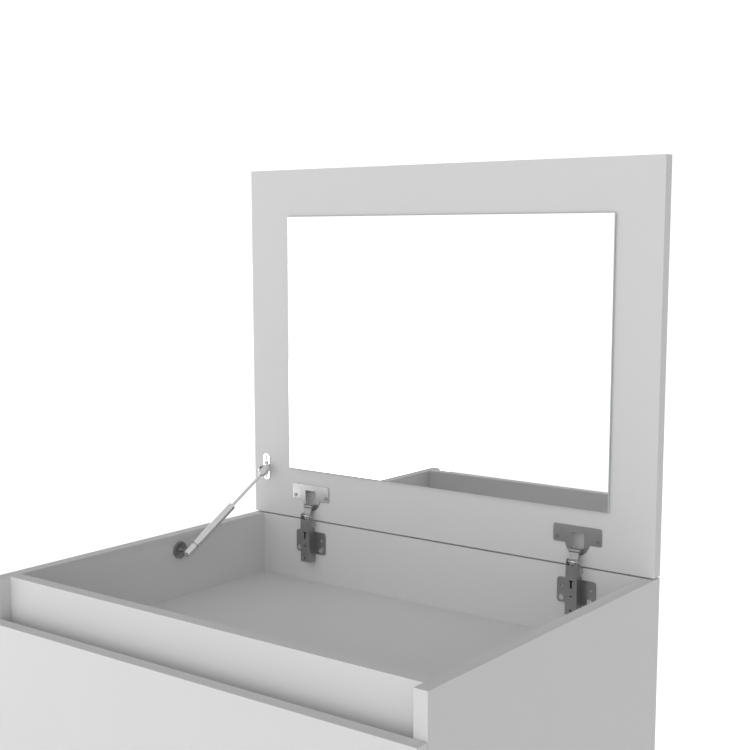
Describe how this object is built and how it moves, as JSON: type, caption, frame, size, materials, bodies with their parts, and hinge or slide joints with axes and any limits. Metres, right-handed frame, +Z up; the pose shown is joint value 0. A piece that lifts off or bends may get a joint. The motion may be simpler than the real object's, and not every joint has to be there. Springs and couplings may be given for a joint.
{
  "type": "vanity table with mirror",
  "caption": "White vanity table with a drawer, an open tray under a lift-up lid, and a mirror on the lid's inner face, held up by a gas strut.",
  "frame": {"origin": "on the floor below the middle of the table with its lid open", "axes": "+Z up, +X to the right of a person who sits at the table, +Y to the back"},
  "size_m": [0.6, 0.4654, 1.225],
  "materials": {
    "board": "white melamine-faced particle board, satin",
    "hinge_steel": "nickel-plated pressed steel",
    "bright_steel": "bright polished steel",
    "slide_steel": "zinc-plated rolled steel",
    "strut_dark": "dark plated steel",
    "glide_plastic": "moulded plastic",
    "beech": "fluted beech",
    "mirror_glass": "silvered float glass",
    "foam_tape": "white foam tape",
    "seal_rubber": "black rubber"
  },
  "bodies": {
    "case": {"side_panel_left": "board", "side_panel_right": "board", "back_panel": "board", "apron": "board", "tray_floor": "board", "case_bottom": "board", "lower_stretcher": "board", "glides": "glide_plastic", "dowels": "beech", "cam_bolts": "bright_steel", "cam_locks": "slide_steel", "hinge_mount_left": "hinge_steel", "hinge_mount_right": "hinge_steel", "hinge_mount_screws": "bright_steel", "hinge_arm_left": "hinge_steel", "hinge_arm_right": "hinge_steel", "hinge_clamp_screws": "strut_dark", "hinge_arm_pins": "bright_steel", "strut_base": "strut_dark", "strut_base_screws": "bright_steel", "slide_case_left": "slide_steel", "slide_case_right": "slide_steel", "slide_screws": "bright_steel"},
    "hinge_links": {"hinge_link_left": "hinge_steel", "hinge_link_right": "hinge_steel"},
    "lid": {"lid_panel": "board", "mirror": "mirror_glass", "mirror_tape": "foam_tape", "hinge_plate_left": "hinge_steel", "hinge_plate_right": "hinge_steel", "hinge_plate_pins": "bright_steel", "hinge_plate_screws": "bright_steel", "strut_bracket": "hinge_steel", "strut_bracket_screws": "bright_steel"},
    "strut_cylinder": {"strut_barrel": "bright_steel", "strut_barrel_end": "bright_steel", "strut_seal": "seal_rubber"},
    "strut_piston_rod": {"strut_rod": "bright_steel", "strut_piston": "seal_rubber", "strut_rod_end": "bright_steel", "strut_rod_pin": "bright_steel"},
    "slide_middles": {"slide_middle_left": "slide_steel", "slide_middle_right": "slide_steel"},
    "drawer": {"drawer_front": "board", "drawer_side_left": "board", "drawer_side_right": "board", "drawer_back": "board", "drawer_bottom": "board", "drawer_front_screws": "bright_steel", "slide_drawer_left": "slide_steel", "slide_drawer_right": "slide_steel", "slide_drawer_screws": "bright_steel"}
  },
  "joints": [
    {"name": "link_swing", "type": "hinge", "parent": "case", "child": "hinge_links", "pos_m": [0, 0.20775, 0.768], "axis": [-1, 0, 0], "range_deg": [0, 126.87]},
    {"name": "lid_swing", "type": "hinge", "parent": "hinge_links", "child": "lid", "pos_m": [0, 0.21283, 0.78025], "axis": [1, 0, 0], "range_deg": [0, 216.87]},
    {"name": "strut_pivot", "type": "hinge", "parent": "case", "child": "strut_cylinder", "pos_m": [0, 0.05735, 0.739], "axis": [-1, 0, 0], "range_deg": [0, 25.86]},
    {"name": "strut_stroke", "type": "slide", "parent": "strut_cylinder", "child": "strut_piston_rod", "axis": [0, -0.8648, -0.5021], "range_m": [0, 0.0556]},
    {"name": "slide_middle_travel", "type": "slide", "parent": "case", "child": "slide_middles", "axis": [0, -1, 0], "range_m": [0, 0.15]},
    {"name": "drawer_slide", "type": "slide", "parent": "case", "child": "drawer", "axis": [0, -1, 0], "range_m": [0, 0.3]}
  ],
  "couplings": [
    {"joint": "link_swing", "follows": "lid_swing", "ratio": 0.585},
    {"joint": "strut_pivot", "follows": "lid_swing", "ratio": 0.11921},
    {"joint": "strut_stroke", "follows": "lid_swing", "m_per_rad": 0.014681},
    {"joint": "slide_middle_travel", "follows": "drawer_slide", "ratio": 0.5}
  ]
}
